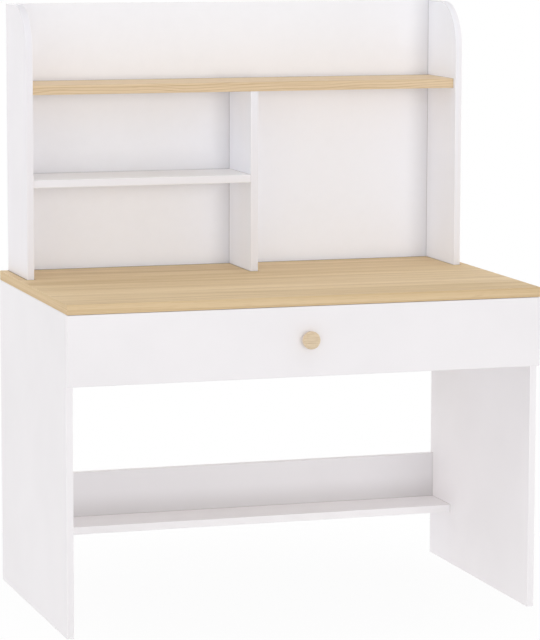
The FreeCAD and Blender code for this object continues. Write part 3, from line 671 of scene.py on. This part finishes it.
# Screws: hex sockets in the long ones, cross recesses in the small ones
longScrew = {
    "head": 0.005, "tall": 0.003, "shank": 0.003, "dome": 0.0,
    "recess": 0.0024, "deep": 0.0022, "cross": False,
}
smallScrew = {
    "head": 0.003, "tall": 0.001, "shank": 0.0016, "dome": 0.0003,
    "recess": 0.0017, "deep": 0.0007, "cross": True,
}
flatScrew = dict(smallScrew, dome=0.0)
screwShape = {
    "cap": 0.1, "floor": 0.75, "wallTop": 0.96, "lip": 1.08, "crown": 0.86,  # shares of a radius
    "wallDepth": 0.08, "crownDepth": 0.55,  # shares of the recess's depth and of the dome
    "chamfer": 0.0002, "tip": 2,  # the tip's length is in shank radii
    "waist": 0.36, "arms": 5,  # the cross's narrowest share, and the power that narrows its arms
    "recessRows": slice(1, 4),
}
screws = {  # node: kind, length, where the heads are, which way the tips point
    "footrest_screws": (
        longScrew, 0.046, [(x, 0.337, 0.137) for x in (-0.3738, 0, 0.3738)], toFront),
    "hutch_screws": (
        longScrew, 0.052, [(x, y, 0.720) for x in (-0.522, 0.019, 0.522) for y in (0.19588, 0.28212)], toTop),
    "drawer_back_screws": (
        flatScrew, 0.022, [(x, 0.157, z) for x in (-0.5213, 0.5213) for z in (0.6192, 0.6642)],
        [toRight] * 2 + [toLeft] * 2),
    "drawer_bottom_screws": (
        smallScrew, 0.014, [(x, 0.157, 0.5912) for x in (-0.40744, -0.20372, 0.20372, 0.40744)], toTop),
    "batten_screws": (
        smallScrew, 0.024, [(x, 0.157, 0.5812) for x in (-0.015, 0.015)], toTop),
    "knob_screw": (
        smallScrew, 0.029, [(0, -0.296, knobMiddle[2])], toFront),
    "cabinet_runner_screws": (
        smallScrew, 0.0122, [(x, y, 0.5902) for x in (-0.5318, 0.5318) for y in (-0.240, -0.069, 0.102)],
        [toLeft] * 3 + [toRight] * 3),
    "drawer_runner_screws": (
        smallScrew, 0.0122, [(x, y, 0.582) for x in (-0.5178, 0.5178) for y in (-0.242, -0.071, 0.100)],
        toTop),
}


def screwOutline(look, length, ring):
    # From the recess floor up its wall and over the face to the head's edge, then under the head and down the
    # shank. The recess rows are a hexagon, or a circle drawn in four times to a cross; the others are round
    head, tall, shank, dome = look["head"], look["tall"], look["shank"], look["dome"]
    recess, deep, shape = look["recess"], look["deep"], screwShape
    floor = [(shape["cap"] * recess, deep), (shape["floor"] * recess, deep)]
    wall = [(shape["wallTop"] * recess, shape["wallDepth"] * deep), (recess, 0.0)]
    face = [(shape["lip"] * recess, 0.0), (shape["crown"] * head, shape["crownDepth"] * dome)]
    edge = [(head, dome + shape["chamfer"]), (head, tall)]
    stem = [(shank, tall), (shank, length - shape["tip"] * shank), (shape["cap"] * shank, length)]
    rows = floor + wall + face + edge + stem
    angle = np.linspace(0, 2 * np.pi, ring, endpoint=False)
    hexagon = np.cos(np.pi / 6) / np.cos(angle % (np.pi / 3) - np.pi / 6)
    cross = shape["waist"] + (1 - shape["waist"]) * np.abs(np.cos(2 * angle)) ** shape["arms"]
    lobes = np.ones((len(rows), ring))
    lobes[shape["recessRows"]] = cross if look["cross"] else hexagon
    return rows, lobes


for node, (look, length, places, toward) in screws.items():
    outline, lobes = screwOutline(look, length, turning["ring"])
    turnedPiece(node + "_turned", outline, places, toward, smooth["zinc"], node, lobes)
print("screws done:", len(screws), "sets")

# Roller pins: a stud with a shoulder against the runner and a riveted end. Glides: a domed foot on a nail
pins = {
    "outline": [  # radius, height
        (0.0003, 0.0), (0.0016, 0.0), (0.002, 0.0004), (0.002, 0.0012), (0.0032, 0.0012), (0.0032, 0.0028),
        (0.002, 0.0028), (0.002, 0.0092), (0.0027, 0.0092), (0.003, 0.0095), (0.0022, 0.0099), (0.0003, 0.01),
    ],
    "front_roller_pins": ([(-0.534, -0.282, 0.5892), (0.534, -0.282, 0.5892)], [toRight, toLeft]),
    "rear_roller_pins": ([(-0.5213, 0.142, 0.5902), (0.5213, 0.142, 0.5902)], [toLeft, toRight]),
}
for node in ["front_roller_pins", "rear_roller_pins"]:
    turnedPiece(node + "_turned", pins["outline"], *pins[node], smooth["zinc"], node)
glides = {
    "outline": [  # radius, height
        (0.0006, 0.0), (0.0036, 0.0001), (0.0055, 0.0005), (0.0063, 0.001), (0.0065, 0.0015), (0.0065, 0.002),
        (0.00125, 0.002), (0.00125, 0.0136), (0.0002, 0.016),
    ],
    "places": [(x, y, 0.0) for x in (-0.542, 0.542) for y in (-0.256, 0.297)],
}
feet = "floor_glides"
turnedPiece(feet + "_turned", glides["outline"], glides["places"], toTop, smooth["glide"], feet)
print("pins and glides done")

# Stage: a pale floor that runs out to white, part of which glows evenly to light the desk from below whatever
# its shadow, and studio light
stage = {
    "reach": 14.0, "drop": 0.0004, "near": 0.3, "far": 1.0, "pale": srgb(246, 246, 246), "shadowShare": 0.1,
    "glow": 0.776, "glowShare": 0.45,
}


def makeFloor(look):
    reach, level = look["reach"], -look["drop"]
    corners = [(-reach, -reach, level), (reach, -reach, level), (reach, reach, level), (-reach, reach, level)]
    mesh = bpy.data.meshes.new("floor")
    mesh.from_pydata(corners, [], [(0, 1, 2, 3)])
    finish = newFinish("floor_pale")
    coords = finish.split(finish.place())
    away = ((coords[0] * coords[0] + coords[1] * coords[1]) ** 0.5).rise(look["near"], look["far"])
    share = finish.seen() * (away * look["shadowShare"] + (1 - look["shadowShare"]))
    plain = finish.node("BsdfDiffuse", {}, {"Color": look["pale"]})
    glow = finish.node("Emission", {}, {"Color": white, "Strength": look["glow"]})
    bright = finish.node("Emission", {}, {"Color": white, "Strength": 1.0})
    lit = finish.node("MixShader", {}, {0: look["glowShare"], 1: plain, 2: glow})
    body = finish.node("MixShader", {}, {0: share, 1: lit, 2: bright})
    finish.node("OutputMaterial", {}, {"Surface": body})
    mesh.materials.append(finish.holder)
    floor = bpy.data.objects.new("floor", mesh)
    bpy.context.scene.collection.objects.link(floor)


makeFloor(stage)

lamps = {  # name: degrees round from the front, degrees up, degrees wide, strength, whether it casts shadows
    "front": (5, 0, 24, 0.95, True),
    "key": (-36, 2, 30, 0.3, True),
    "left": (-90, 0, 20, 0.58, False),
    "right": (90, 0, 20, 0.66, False),
    "top": (0, 80, 60, 0.36, True),
    "fill": (0, 84, 40, 0.21, False),
    "rear": (180, 10, 30, 0.5, True),
}
ambient = 0.64


def makeLamps():
    finish = Finish(bpy.data.worlds.new("studio"))
    soft = finish.node("Background", {}, {"Color": white, "Strength": ambient})
    bright = finish.node("Background", {}, {"Color": white, "Strength": 1.0})
    body = finish.node("MixShader", {}, {0: finish.seen(), 1: soft, 2: bright})
    finish.node("OutputWorld", {}, {"Surface": body})
    bpy.context.scene.world = finish.holder
    for name, (around, up, wide, strength, casts) in lamps.items():
        lamp = bpy.data.lights.new(name, "SUN")
        lamp.angle = np.radians(wide)
        lamp.energy = strength
        lamp.use_shadow = casts
        held = bpy.data.objects.new(name, lamp)
        held.rotation_euler = (np.radians(90 - up), 0, np.radians(around))
        bpy.context.scene.collection.objects.link(held)


makeLamps()

view = {
    "place": (-2.1565, -6.7861, 1.6255), "toward": (0.29987, 0.9445, -0.13419), "roll": 0.138,
    "lens": 175.49, "sensor": 36.0, "shift": (0.0068, -0.0094), "farthest": 60.0,
}
lens = bpy.data.cameras.new("camera")
lens.lens = view["lens"]
lens.sensor_width = view["sensor"]
lens.shift_x, lens.shift_y = view["shift"]
lens.clip_end = view["farthest"]
camera = bpy.data.objects.new("camera", lens)
camera.location = view["place"]
aim = Vector(view["toward"]).to_track_quat("-Z", "Y")
camera.rotation_euler = (aim @ Quaternion((0, 0, 1), np.radians(view["roll"]))).to_euler()
bpy.context.scene.collection.objects.link(camera)
bpy.context.scene.camera = camera
bpy.context.scene.view_settings.view_transform = "Standard"
print("stage, light and camera done")
